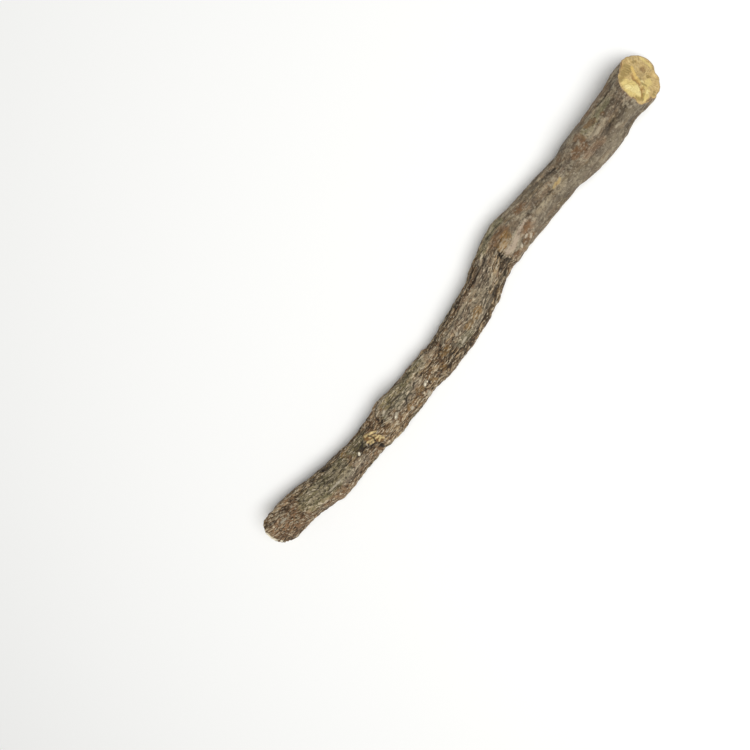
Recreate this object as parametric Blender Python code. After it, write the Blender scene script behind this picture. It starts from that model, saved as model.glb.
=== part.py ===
"""One dried, cut length of licorice root, lying on its side. Metres, +Z up.

The root grew as one piece, so it is one solid. It starts as a cylinder primitive cut into
rings, and place_on_root carries every vertex to its place on the bent and knotted root.
The origin is on the floor below the middle of the root, and +X runs along the root from
its lower cut to its upper cut, the one with the long slanted face.

All sizes below are in millimetres. "Along" is the distance from the lower cut, measured
along X. "Turn" is the angle round the root in degrees: 0 on top, 90 on the -Y side.
"""

import math

import bmesh
import bpy
from mathutils import Vector, noise

MM = 0.001

# The root's run: (along, aside, radius), where aside is towards +Y.
RUN = [
    (0.0, -0.6, 6.0),
    (12.0, -2.0, 5.9),
    (26.0, -4.5, 5.8),
    (40.0, -5.3, 5.1),
    (56.0, -5.5, 5.7),
    (70.0, -5.6, 5.3),
    (80.0, -5.8, 5.35),
    (92.0, -4.8, 5.8),
    (102.0, -3.0, 5.6),
    (112.0, 0.1, 5.7),
    (120.0, 1.3, 6.1),
    (130.0, 1.0, 5.8),
    (138.0, 0.8, 5.5),
    (144.0, 0.4, 5.4),
    (156.0, 0.1, 6.3),
    (165.0, 0.7, 6.15),
    (174.8, 1.4, 6.6),
]

# How far the underside clears the floor: (along, clearance). It is pressed flat where negative.
CLEARANCE = [
    (0.0, 0.5),
    (13.0, -0.35),
    (46.0, 0.9),
    (77.0, -0.35),
    (100.0, 0.5),
    (124.0, -0.35),
    (150.0, 1.4),
    (174.8, 3.7),
]

LENGTH = RUN[-1][0]
MIDDLE = (89.3, -1.7)  # along and aside of the origin

# Each cut is a plane. Its outward normal rises from level by RISE, and turns aside by YAW.
LOWER_CUT_RISE = -20.0
UPPER_CUT_RISE = 45.0
UPPER_CUT_YAW = -6.0
CUT_REACH = 24.0  # how far back from a cut the rings lean towards it

SIDES = 44
SLICES = 84
FACE_STEPS = (0.09, 0.14, 0.2, 0.2, 0.2)  # insets of a cut face, as shares of its radius

# Relief all over the bark: size along, size across, height. Ribs are parted by narrow furrows.
RIBS = (12.0, 2.0, 0.9)
WRINKLES = (3.6, 1.7, 0.3)
LUMPS = (9.0, 6.0, 0.5)
RIB_LEVEL = 0.25  # the share of a rib's height that lies below the round root
RELIEF_FADE = 2.5  # the relief comes in over this height above the floor that the root rests on

# Bumps and pits: (along, turn, half length, half width, height).
KNOTS = [
    (156.0, -88.0, 4.5, 3.5, 0.2),
    (158.0, 92.0, 5.0, 3.5, 0.35),
    (154.0, -40.0, 2.6, 1.8, 0.3),
    (160.0, -17.0, 1.8, 1.6, 0.25),
    (164.5, 8.0, 3.6, 0.9, -0.4),
    (166.0, 72.0, 3.5, 2.5, -0.45),
    (180.0, 158.0, 5.0, 1.3, -0.7),
    (181.0, -168.0, 6.0, 4.0, 0.4),
    (166.0, -42.0, 3.2, 1.6, -0.3),
    (141.0, 3.0, 2.2, 1.3, 0.2),
    (122.0, -62.0, 5.5, 3.0, 0.4),
    (120.5, 10.0, 3.4, 2.0, 0.45),
    (123.5, 36.0, 2.0, 1.2, -0.4),
    (121.0, 58.0, 2.0, 1.4, 0.35),
    (119.6, -25.0, 3.0, 1.9, -0.25),
    (98.0, 12.0, 4.0, 1.4, 0.2),
    (83.0, 5.0, 3.0, 1.6, -0.2),
    (69.4, 58.0, 1.6, 1.3, 0.35),
    (57.5, 4.0, 4.2, 2.6, 0.35),
    (59.0, -75.0, 5.0, 3.0, 0.2),
    (46.3, 40.0, 1.4, 1.1, -0.45),
    (47.0, -5.0, 3.6, 2.6, -0.3),
    (53.0, -27.0, 1.8, 1.3, -0.5),
    (26.0, 95.0, 6.0, 3.0, 0.3),
    (10.7, 16.0, 1.5, 1.1, -0.3),
    (31.0, 178.0, 5.0, 3.0, 0.4),
    (104.0, -150.0, 3.5, 2.2, 0.5),
    (143.0, 160.0, 3.0, 2.0, -0.4),
    (62.0, 140.0, 3.0, 1.8, -0.4),
]

# Steps, where the bark above overlaps the bark below: (along, turn, half width, height, run-out).
STEP_LENGTH = 0.9  # a step rises over this length
STEPS = [
    (115.6, 30.0, 4.6, 0.75, 9.0),
    (113.5, -130.0, 4.0, 0.5, 8.0),
    (52.5, -68.0, 4.2, 0.5, 9.0),
    (86.0, 150.0, 4.0, 0.4, 8.0),
]

# Dark splits in the bark: (along and turn of one end, the same of the other, half width, depth).
SPLITS = [
    ((113.0, 45.0), (103.5, 54.0), 0.7, 0.6),
    ((99.0, 51.0), (88.0, 58.0), 0.7, 0.55),
    ((110.5, -34.0), (102.0, -48.0), 0.7, 0.45),
    ((122.5, -52.0), (116.0, -66.0), 0.6, 0.4),
    ((145.0, -38.0), (139.0, -46.0), 0.7, 0.4),
    ((36.0, 34.0), (16.0, 48.0), 0.7, 0.3),
    ((96.0, -150.0), (70.0, -128.0), 0.8, 0.5),
    ((44.0, 130.0), (20.0, 148.0), 0.8, 0.5),
    ((160.0, 120.0), (134.0, 138.0), 0.8, 0.5),
]
SPLIT_END = 2.0  # half a split's tapered end

# The cut faces. "Out" and the widths here are shares of the radius, and the heights are millimetres.
WOOD_RISE = 0.25  # how far the wood stands proud of the bark round a cut
EDGE_WIDTH = 0.15  # a face's relief comes in over this width
RIDGE_TURN = 61.0  # the upper cut was made in two strokes, which meet in a ridge across it
RIDGE_ASIDE = -0.03
RIDGE_HEIGHT = 0.3
RIDGE_SLOPE = 0.9
UPPER_PITH = (0.5, -164.0)  # out and turn
LOWER_PITH = (0.15, 40.0)
PITH_HALF_WIDTH = 0.1
PITH_DEPTH = 0.3

BARK_COLOUR = (0.155, 0.12, 0.085, 1.0)
WOOD_COLOUR = (0.62, 0.44, 0.15, 1.0)


def clear_scene():
    for thing in list(bpy.data.objects):
        bpy.data.objects.remove(thing, do_unlink=True)


def smooth_curve(points):
    """A smooth function through (x, value) points, straight past both ends."""
    slopes = []
    for i in range(len(points)):
        before = points[max(i - 1, 0)]
        after = points[min(i + 1, len(points) - 1)]
        slopes.append((after[1] - before[1]) / (after[0] - before[0]))

    def value(x):
        if x <= points[0][0]:
            return points[0][1] + slopes[0] * (x - points[0][0])
        if x >= points[-1][0]:
            return points[-1][1] + slopes[-1] * (x - points[-1][0])
        i = max(k for k in range(len(points) - 1) if points[k][0] <= x)
        width = points[i + 1][0] - points[i][0]
        t = (x - points[i][0]) / width
        start = points[i][1] * (1 + 2 * t) * (1 - t) ** 2 + slopes[i] * width * t * (1 - t) ** 2
        end = points[i + 1][1] * (3 - 2 * t) * t**2 - slopes[i + 1] * width * (1 - t) * t**2
        return start + end

    return value


aside_at = smooth_curve([(along, aside) for along, aside, _ in RUN])
radius_at = smooth_curve([(along, radius) for along, _, radius in RUN])
clearance_at = smooth_curve(CLEARANCE)


def centre_at(along):
    return Vector((along, aside_at(along), radius_at(along) + clearance_at(along)))


def frame_at(along):
    """The root's direction, its -Y side and its top there, as unit vectors."""
    forward = (centre_at(along + 0.5) - centre_at(along - 0.5)).normalized()
    side = forward.cross(Vector((0, 0, 1))).normalized()
    return forward, side, side.cross(forward)


def smoothstep(t):
    t = min(max(t, 0.0), 1.0)
    return t * t * (3 - 2 * t)


def bump(distance):
    """1 at no distance and 0 from a distance of 2 on, with a smooth fall between."""
    return 0.5 + 0.5 * math.cos(math.pi * min(abs(distance) / 2, 1.0))


def turn_between(turn, other):
    """The angle in radians from one turn in degrees to another, the short way round."""
    return math.radians((turn - other + 180) % 360 - 180)


def patterned(pattern, along, turn, radius):
    """Noise stretched along the root, in a seamless loop round it, from about -1 to 1."""
    length, width, _ = pattern
    angle = math.radians(turn)
    place = Vector((along / length, radius * math.cos(angle) / width, radius * math.sin(angle) / width))
    return noise.noise(place, noise_basis="PERLIN_ORIGINAL")


def knot_height(along, turn, radius):
    total = 0.0
    for at, knot_turn, half_length, half_width, height in KNOTS:
        across = radius * turn_between(turn, knot_turn)
        total += height * bump(math.hypot((along - at) / half_length, across / half_width))
    return total


def step_height(along, turn, radius):
    total = 0.0
    for at, step_turn, half_width, height, run_out in STEPS:
        across = radius * turn_between(turn, step_turn)
        rise = smoothstep((along - at) / STEP_LENGTH + 0.5)
        total += height * bump(across / half_width) * rise * bump(max(along - at, 0) / run_out)
    return total


def split_depth(along, turn, radius):
    total = 0.0
    for (start, start_turn), (end, end_turn), half_width, depth in SPLITS:
        share = min(max((along - start) / (end - start), 0.0), 1.0)
        across = radius * turn_between(turn, start_turn + share * (end_turn - start_turn))
        past_end = abs(along - (start + share * (end - start)))
        total += depth * bump(math.hypot(across / half_width, past_end / SPLIT_END))
    return total


def bark_relief(along, turn, radius):
    """How far the bark stands out from the round root there."""
    ribs = RIBS[2] * (abs(patterned(RIBS, along, turn, radius)) - RIB_LEVEL)
    wrinkles = WRINKLES[2] * patterned(WRINKLES, along + LENGTH, turn, radius)
    lumps = LUMPS[2] * patterned(LUMPS, along - LENGTH, turn, radius)
    local = knot_height(along, turn, radius) + step_height(along, turn, radius)
    return ribs + wrinkles + lumps + local - split_depth(along, turn, radius)


def cut_normal(upper):
    rise = math.radians(UPPER_CUT_RISE if upper else LOWER_CUT_RISE)
    yaw = math.radians(UPPER_CUT_YAW if upper else 180.0)
    return Vector((math.cos(rise) * math.cos(yaw), math.cos(rise) * math.sin(yaw), math.sin(rise)))


def lean_to_cut(along, offset):
    """How far a point at this offset from the centreline moves along it, to meet the cut planes."""
    total = 0.0
    for upper, end in ((False, 0.0), (True, LENGTH)):
        nearness = smoothstep(1 - abs(along - end) / CUT_REACH)
        forward = frame_at(end)[0]
        normal = cut_normal(upper)
        total -= nearness * normal.dot(offset) / normal.dot(forward)
    return total


def face_relief(upper, out, turn):
    """How far a cut face stands out from its plane, at a share of the radius from its middle."""
    angle = math.radians(turn)
    height = WOOD_RISE
    if upper:
        from_ridge = out * math.sin(angle - math.radians(RIDGE_TURN)) - RIDGE_ASIDE
        height += RIDGE_HEIGHT - RIDGE_SLOPE * abs(from_ridge)
    pith_out, pith_turn = UPPER_PITH if upper else LOWER_PITH
    pith_angle = math.radians(pith_turn)
    aside = out * math.cos(angle) - pith_out * math.cos(pith_angle)
    across = out * math.sin(angle) - pith_out * math.sin(pith_angle)
    height -= PITH_DEPTH * bump(math.hypot(aside, across) / PITH_HALF_WIDTH)
    return height * smoothstep((1 - out) / EDGE_WIDTH)


def place_on_root(share, turn, out):
    """The root's surface, in millimetres: share runs from cut to cut, and out is 1 on the bark."""
    along = share * LENGTH
    forward, side, top = frame_at(along)
    angle = math.radians(turn)
    ray = top * math.cos(angle) + side * math.sin(angle)
    lean = lean_to_cut(along, ray * radius_at(along))
    radius = radius_at(along)
    fade = smoothstep((centre_at(along).z + radius * ray.z) / RELIEF_FADE)
    radius += bark_relief(along + lean, turn, radius) * fade
    point = centre_at(along) + ray * radius * out + forward * lean * out
    if out < 1:
        point += cut_normal(share > 0.5) * face_relief(share > 0.5, out, turn)
    point.z = max(point.z, 0.0)
    return point


def ringed_cylinder():
    """A cylinder of radius 1 and height 1, cut into slices, its ends inset into rings."""
    mesh = bmesh.new()
    bmesh.ops.create_cone(
        mesh, cap_ends=True, cap_tris=False, segments=SIDES, radius1=1, radius2=1, depth=1
    )
    lengthwise = [edge for edge in mesh.edges if abs(edge.verts[0].co.z - edge.verts[1].co.z) > 0.5]
    bmesh.ops.subdivide_edges(mesh, edges=lengthwise, cuts=SLICES - 1)
    for cap in [face for face in mesh.faces if len(face.verts) == SIDES]:
        for step in FACE_STEPS:
            bmesh.ops.inset_region(mesh, faces=[cap], thickness=step, use_even_offset=True)
        bmesh.ops.poke(mesh, faces=[cap])
    return mesh


def make_material(name, colour, roughness):
    material = bpy.data.materials.new(name)
    material.use_nodes = True
    shader = material.node_tree.nodes["Principled BSDF"]
    shader.inputs["Base Color"].default_value = colour
    shader.inputs["Roughness"].default_value = roughness
    shader.inputs["Metallic"].default_value = 0.0
    material.diffuse_color = colour
    return material


def make_root(collection):
    mesh = ringed_cylinder()
    origin = Vector((*MIDDLE, 0))
    for face in mesh.faces:
        on_cut = all(abs(abs(vertex.co.z) - 0.5) < 1e-5 for vertex in face.verts)
        face.material_index = 1 if on_cut else 0
    for vertex in mesh.verts:
        x, y, z = vertex.co
        out = math.hypot(x, y)
        turn = math.degrees(math.atan2(y, x))
        vertex.co = (place_on_root(z + 0.5, turn, 1.0 if out > 0.995 else out) - origin) * MM
    bmesh.ops.recalc_face_normals(mesh, faces=mesh.faces)
    data = bpy.data.meshes.new("licorice_root")
    mesh.to_mesh(data)
    mesh.free()
    data.materials.append(make_material("bark", BARK_COLOUR, 0.85))
    data.materials.append(make_material("cut wood", WOOD_COLOUR, 0.8))
    data.shade_smooth()
    data.set_sharp_from_angle(angle=math.radians(50))
    root = bpy.data.objects.new("licorice_root", data)
    collection.objects.link(root)
    return root


def main():
    clear_scene()
    collection = bpy.data.collections.new("licorice root")
    bpy.context.scene.collection.children.link(collection)
    make_root(collection)


main()
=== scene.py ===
"""The looks of one dried, cut length of licorice root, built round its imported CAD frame.

The frame is in metres: +X runs along the root from its lower cut to its upper cut, and the
floor is at z = 0. Sizes below are in millimetres. "Along" is the distance from the lower cut,
measured along X. "Turn" is the angle round the root in degrees: 0 on top, 90 on the -Y side.
"""

import functools
import math

import bmesh
import bpy
from mathutils import Matrix, Vector, noise


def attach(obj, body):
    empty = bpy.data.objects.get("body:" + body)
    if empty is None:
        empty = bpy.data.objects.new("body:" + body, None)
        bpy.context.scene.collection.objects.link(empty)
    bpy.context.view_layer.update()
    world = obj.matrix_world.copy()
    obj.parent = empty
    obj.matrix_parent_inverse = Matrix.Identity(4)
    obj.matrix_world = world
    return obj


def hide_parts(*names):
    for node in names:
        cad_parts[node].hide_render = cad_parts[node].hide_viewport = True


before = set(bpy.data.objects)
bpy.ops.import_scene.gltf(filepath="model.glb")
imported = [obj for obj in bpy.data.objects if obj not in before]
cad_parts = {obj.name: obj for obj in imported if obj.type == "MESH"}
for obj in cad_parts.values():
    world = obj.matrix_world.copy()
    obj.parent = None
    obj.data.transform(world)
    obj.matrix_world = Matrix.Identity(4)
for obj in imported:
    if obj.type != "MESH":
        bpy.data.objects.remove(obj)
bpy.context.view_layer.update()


# The run of the root. Licorice sends out long woody roots under the ground. This length was
# dug up, cut to chew or to brew, and dried, which left it about 12 mm thick and bent twice.

MM = 0.001

# (along, aside, radius), where aside is towards +Y.
RUN = [
    (0.0, -0.6, 6.0),
    (12.0, -2.0, 5.9),
    (26.0, -4.5, 5.8),
    (40.0, -5.3, 5.1),
    (56.0, -5.5, 5.7),
    (70.0, -5.6, 5.3),
    (80.0, -5.8, 5.35),
    (92.0, -4.8, 5.8),
    (102.0, -3.0, 5.6),
    (112.0, 0.1, 5.7),
    (120.0, 1.3, 6.1),
    (130.0, 1.0, 5.8),
    (138.0, 0.8, 5.5),
    (144.0, 0.4, 5.4),
    (156.0, 0.1, 6.3),
    (165.0, 0.7, 6.15),
    (174.8, 1.4, 6.6),
]

# How far the underside clears the floor: (along, clearance). It is pressed flat where negative.
CLEARANCE = [
    (0.0, 0.5),
    (13.0, -0.35),
    (46.0, 0.9),
    (77.0, -0.35),
    (100.0, 0.5),
    (124.0, -0.35),
    (150.0, 1.4),
    (174.8, 3.7),
]

LENGTH = RUN[-1][0]
MIDDLE = (89.3, -1.7)  # along and aside of the frame's origin
HALF_STEP = 0.5  # the root's direction is read between points this far before and after


def smooth_curve(points):
    """A smooth function through (x, value) points, straight past both ends."""
    slopes = []
    for i in range(len(points)):
        before = points[max(i - 1, 0)]
        after = points[min(i + 1, len(points) - 1)]
        slopes.append((after[1] - before[1]) / (after[0] - before[0]))

    @functools.cache
    def value(x):
        if x <= points[0][0]:
            return points[0][1] + slopes[0] * (x - points[0][0])
        if x >= points[-1][0]:
            return points[-1][1] + slopes[-1] * (x - points[-1][0])
        i = max(k for k in range(len(points) - 1) if points[k][0] <= x)
        width = points[i + 1][0] - points[i][0]
        t = (x - points[i][0]) / width
        start = points[i][1] * (1 + 2 * t) * (1 - t) ** 2 + slopes[i] * width * t * (1 - t) ** 2
        end = points[i + 1][1] * (3 - 2 * t) * t**2 - slopes[i + 1] * width * (1 - t) * t**2
        return start + end

    return value


aside_at = smooth_curve([(along, aside) for along, aside, _ in RUN])
radius_at = smooth_curve([(along, radius) for along, _, radius in RUN])
clearance_at = smooth_curve(CLEARANCE)


@functools.cache
def centre_at(along):
    centre = Vector((along, aside_at(along), radius_at(along) + clearance_at(along)))
    return centre.freeze()


@functools.cache
def frame_at(along):
    """The root's direction, its -Y side and its top there, as unit vectors."""
    forward = (centre_at(along + HALF_STEP) - centre_at(along - HALF_STEP)).normalized()
    side = forward.cross(Vector((0, 0, 1))).normalized()
    return forward.freeze(), side.freeze(), side.cross(forward).freeze()


def ray_at(along, turn):
    """The unit vector from the middle of the root out to the bark."""
    _, side, top = frame_at(along)
    angle = math.radians(turn)
    return top * math.cos(angle) + side * math.sin(angle)


# The relief of the bark. A cork skin under half a millimetre thick wrinkled into ribs as the
# root shrank, split where it bends, and keeps the scars of side roots and of handling.

# Relief all over: size along, size across, height. Ribs are parted by narrow furrows.
RIBS = (12.0, 2.0, 0.9)
WRINKLES = (3.6, 1.7, 0.3)
LUMPS = (9.0, 6.0, 0.5)
RIB_LEVEL = 0.25  # the share of a rib's height that lies below the round root
RELIEF_FADE = 2.5  # the relief comes in over this height above the floor that the root rests on

# Bumps and pits: (along, turn, half length, half width, height).
KNOTS = [
    (156.0, -88.0, 4.5, 3.5, 0.2),
    (158.0, 92.0, 5.0, 3.5, 0.35),
    (154.0, -40.0, 2.6, 1.8, 0.3),
    (160.0, -17.0, 1.8, 1.6, 0.25),
    (164.5, 8.0, 3.6, 0.9, -0.4),
    (166.0, 72.0, 3.5, 2.5, -0.45),
    (180.0, 158.0, 5.0, 1.3, -0.7),
    (181.0, -168.0, 6.0, 4.0, 0.4),
    (166.0, -42.0, 3.2, 1.6, -0.3),
    (141.0, 3.0, 2.2, 1.3, 0.2),
    (122.0, -62.0, 5.5, 3.0, 0.4),
    (120.5, 10.0, 3.4, 2.0, 0.45),
    (123.5, 36.0, 2.0, 1.2, -0.4),
    (121.0, 58.0, 2.0, 1.4, 0.35),
    (119.6, -25.0, 3.0, 1.9, -0.25),
    (98.0, 12.0, 4.0, 1.4, 0.2),
    (83.0, 5.0, 3.0, 1.6, -0.2),
    (69.4, 58.0, 1.6, 1.3, 0.35),
    (57.5, 4.0, 4.2, 2.6, 0.35),
    (59.0, -75.0, 5.0, 3.0, 0.2),
    (46.3, 40.0, 1.4, 1.1, -0.45),
    (47.0, -5.0, 3.6, 2.6, -0.3),
    (53.0, -27.0, 1.8, 1.3, -0.5),
    (26.0, 95.0, 6.0, 3.0, 0.3),
    (10.7, 16.0, 1.5, 1.1, -0.3),
    (31.0, 178.0, 5.0, 3.0, 0.4),
    (104.0, -150.0, 3.5, 2.2, 0.5),
    (143.0, 160.0, 3.0, 2.0, -0.4),
    (62.0, 140.0, 3.0, 1.8, -0.4),
]

# Steps, where the bark above overlaps the bark below: (along, turn, half width, height, run-out).
STEP_LENGTH = 0.9  # a step rises over this length
STEPS = [
    (115.6, 30.0, 4.6, 0.75, 9.0),
    (113.5, -130.0, 4.0, 0.5, 8.0),
    (52.5, -68.0, 4.2, 0.5, 9.0),
    (86.0, 150.0, 4.0, 0.4, 8.0),
]

# Broad splits in the bark: (along and turn of one end, the same of the other, half width, depth).
SPLITS = [
    ((113.0, 45.0), (103.5, 54.0), 0.7, 0.6),
    ((99.0, 51.0), (88.0, 58.0), 0.7, 0.55),
    ((110.5, -34.0), (102.0, -48.0), 0.7, 0.45),
    ((122.5, -52.0), (116.0, -66.0), 0.6, 0.4),
    ((145.0, -38.0), (139.0, -46.0), 0.7, 0.4),
    ((36.0, 34.0), (16.0, 48.0), 0.7, 0.3),
    ((96.0, -150.0), (70.0, -128.0), 0.8, 0.5),
    ((44.0, 130.0), (20.0, 148.0), 0.8, 0.5),
    ((160.0, 120.0), (134.0, 138.0), 0.8, 0.5),
]
SPLIT_END = 2.0  # half a split's tapered end

# Fine cracks, in the same form, which may run across the root.
CRACKS = [
    ((116.0, -5.0), (114.9, 12.0), 0.3, 0.45),
    ((114.9, 12.0), (114.7, 27.0), 0.26, 0.4),
    ((114.7, 27.0), (116.3, 37.0), 0.26, 0.4),
    ((112.4, 48.0), (109.2, 43.0), 0.26, 0.4),
    ((109.2, 46.0), (104.0, 44.0), 0.24, 0.4),
    ((106.6, 38.0), (103.4, 42.0), 0.22, 0.3),
    ((98.0, 52.0), (91.3, 47.0), 0.26, 0.4),
    ((91.3, 47.0), (86.2, 34.0), 0.28, 0.4),
    ((86.2, 34.0), (77.0, 45.0), 0.24, 0.35),
    ((110.5, -35.0), (107.6, -40.0), 0.24, 0.35),
    ((107.6, -40.0), (102.5, -50.0), 0.24, 0.35),
    ((122.0, -57.0), (117.0, -64.0), 0.24, 0.35),
    ((143.6, -42.0), (141.6, -46.0), 0.3, 0.4),
    ((131.4, -55.0), (128.0, -62.0), 0.26, 0.35),
    ((142.6, 10.0), (137.5, 2.0), 0.24, 0.25),
    ((137.5, 2.0), (132.3, 0.0), 0.3, 0.35),
    ((132.3, 0.0), (129.0, -9.0), 0.26, 0.3),
    ((167.6, 9.0), (165.6, 19.0), 0.3, 0.35),
    ((162.6, 9.0), (159.6, 8.0), 0.32, 0.35),
    ((167.0, -54.0), (163.5, -57.0), 0.35, 0.35),
    ((55.6, -80.0), (53.7, -66.0), 0.3, 0.4),
    ((53.7, -66.0), (52.6, -42.0), 0.3, 0.4),
    ((52.6, -42.0), (52.2, -28.0), 0.34, 0.5),
    ((53.4, -20.0), (53.0, -14.0), 0.34, 0.5),
    ((46.8, 40.0), (46.2, 46.0), 0.4, 0.5),
    ((11.6, 14.0), (9.8, 22.0), 0.26, 0.35),
    ((11.2, 23.0), (10.2, 13.0), 0.26, 0.35),
    ((5.2, 34.0), (4.2, 32.0), 0.3, 0.3),
    ((120.0, 96.0), (111.0, 84.0), 0.3, 0.45),
    ((99.0, -118.0), (88.0, -108.0), 0.3, 0.4),
    ((73.0, 96.0), (61.0, 84.0), 0.3, 0.4),
    ((30.0, -92.0), (17.0, -100.0), 0.3, 0.4),
    ((150.0, -132.0), (138.0, -124.0), 0.3, 0.4),
]

# Relief all over that is too fine for the solid: size along, size across, height. The finest
# is a little coarser than on the real bark, so that it shows.
FURROWS = (7.0, 1.5, 0.3)
FURROW_WIDTH = 0.2  # a furrow's share of the noise that it follows
FURROW_PATCHES = (11.0, 5.0)  # furrows come and go over patches of this size
FURROW_COVER = 0.6  # how far they are there in the middle of that coming and going
FURROW_SWING = 1.6  # and how strongly they come and go
FLAKES = (2.4, 0.8, 0.3)
GRAIN = (1.0, 0.5, 0.16)
GRAIN_SLANT = [(0.0, 34.0), (14.0, 14.0), (34.0, 0.0), (175.0, 0.0)]  # (along, turn it adds)
GRAIN_WAVES = (4.0, 0.6)  # the size of the waves in the grain, and how far they reach
WAVE_SHIFTS = (0.0, 41.0, 83.0)  # where in the noise the waves of each direction are read
SMOOTHER_FROM = 112.0  # past the knee the bark is smoother
SMOOTHER_BY = 122.0
SMOOTH_LEVEL = 0.42  # the roughness that is left there, where that of coarse bark is 1
SCAR_RING = (160.5, -19.0, 1.25, 0.35, 0.2)  # along, turn, radius, half width, height


def smoothstep(t):
    t = min(max(t, 0.0), 1.0)
    return t * t * (3 - 2 * t)


def bump(distance):
    """1 at no distance and 0 from a distance of 2 on, with a smooth fall between."""
    return 0.5 + 0.5 * math.cos(math.pi * min(abs(distance) / 2, 1.0))


def turn_between(turn, other):
    """The angle in radians from one turn in degrees to another, the short way round."""
    return math.radians((turn - other + 180) % 360 - 180)


def patterned(size, along, turn, radius):
    """Noise stretched along the root, in a seamless loop round it, from about -1 to 1."""
    length, width = size[:2]
    angle = math.radians(turn)
    place = Vector((along / length, radius * math.cos(angle) / width, radius * math.sin(angle) / width))
    return noise.noise(place, noise_basis="PERLIN_ORIGINAL")


def knot_height(along, turn, radius):
    total = 0.0
    for at, knot_turn, half_length, half_width, height in KNOTS:
        if abs(along - at) < 2 * half_length:
            across = radius * turn_between(turn, knot_turn)
            total += height * bump(math.hypot((along - at) / half_length, across / half_width))
    return total


def step_height(along, turn, radius):
    total = 0.0
    for at, step_turn, half_width, height, run_out in STEPS:
        across = radius * turn_between(turn, step_turn)
        rise = smoothstep((along - at) / STEP_LENGTH + 0.5)
        total += height * bump(across / half_width) * rise * bump(max(along - at, 0) / run_out)
    return total


def split_depth(along, turn, radius):
    total = 0.0
    for (start, start_turn), (end, end_turn), half_width, depth in SPLITS:
        share = min(max((along - start) / (end - start), 0.0), 1.0)
        across = radius * turn_between(turn, start_turn + share * (end_turn - start_turn))
        past_end = abs(along - (start + share * (end - start)))
        total += depth * bump(math.hypot(across / half_width, past_end / SPLIT_END))
    return total


def main_relief(along, turn, radius):
    """How far the bark stands out from the round root there, with what the solid also has."""
    ribs = RIBS[2] * (abs(patterned(RIBS, along, turn, radius)) - RIB_LEVEL)
    wrinkles = WRINKLES[2] * patterned(WRINKLES, along + LENGTH, turn, radius)
    lumps = LUMPS[2] * patterned(LUMPS, along - LENGTH, turn, radius)
    local = knot_height(along, turn, radius) + step_height(along, turn, radius)
    return ribs + wrinkles + lumps + local - split_depth(along, turn, radius)


def stroke(along, turn, radius, start, end, half_width):
    """1 on a line over the bark between two (along, turn) points, 0 from two half widths away."""
    reach = 2 * half_width
    if not min(start[0], end[0]) - reach < along < max(start[0], end[0]) + reach:
        return 0.0
    line = Vector((end[0] - start[0], radius * turn_between(end[1], start[1])))
    place = Vector((along - start[0], radius * turn_between(turn, start[1])))
    share = min(max(place.dot(line) / line.length_squared, 0.0), 1.0)
    return bump((place - line * share).length / half_width)


def crack_depth(along, turn, radius):
    return max(
        depth * stroke(along, turn, radius, start, end, half_width)
        for start, end, half_width, depth in CRACKS
    )


slant_at = smooth_curve(GRAIN_SLANT)


def grown_at(along, turn, radius):
    """Where the bark there grew on a straight root, in coordinates that wave as its grain does."""
    angle = math.radians(turn + slant_at(along))
    place = Vector((along, radius * math.cos(angle), radius * math.sin(angle)))
    at = place / GRAIN_WAVES[0]
    waves = Vector([noise.noise(at + Vector((shift, 0, 0))) for shift in WAVE_SHIFTS])
    return place + waves * GRAIN_WAVES[1]


def grained(size, grown, shift):
    """Noise stretched along the grain, from about -1 to 1."""
    length, width = size[:2]
    place = Vector(((grown.x + shift) / length, grown.y / width, grown.z / width))
    return noise.noise(place, noise_basis="PERLIN_ORIGINAL")


def furrow_at(grown):
    """1 at the bottom of a narrow furrow, and 0 off it."""
    near_line = 1 - abs(grained(FURROWS, grown, 0.0)) / FURROW_WIDTH
    patch = grained(FURROW_PATCHES, grown, 3 * LENGTH)
    return max(near_line, 0.0) * smoothstep(FURROW_COVER + FURROW_SWING * patch)


def ring_height(along, turn, radius):
    at, ring_turn, ring_radius, half_width, height = SCAR_RING
    distance = math.hypot(along - at, radius * turn_between(turn, ring_turn))
    return height * bump((distance - ring_radius) / half_width)


def fine_relief(along, turn, radius, grown, roughness):
    """What the solid leaves out. Roughness is 1 on coarse bark and 0 on the smoothest."""
    flakes = FLAKES[2] * grained(FLAKES, grown, 2 * LENGTH)
    grain = GRAIN[2] * grained(GRAIN, grown, -2 * LENGTH)
    furrows = FURROWS[2] * furrow_at(grown)
    ring = ring_height(along, turn, radius)
    return (flakes + grain - furrows) * roughness + ring - crack_depth(along, turn, radius)


# Marks on the bark. Rubbed places, side root scars, lichen and soil left it spotted, so each
# mark is a stroke in a kind's own colour: (along and turn of each end), then half its width.
# The shade strokes are painted shade, along cracks, in pits and over places that lie in shade,
# and the dark gap strokes are painted shade in the gaps of torn bark.

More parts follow.
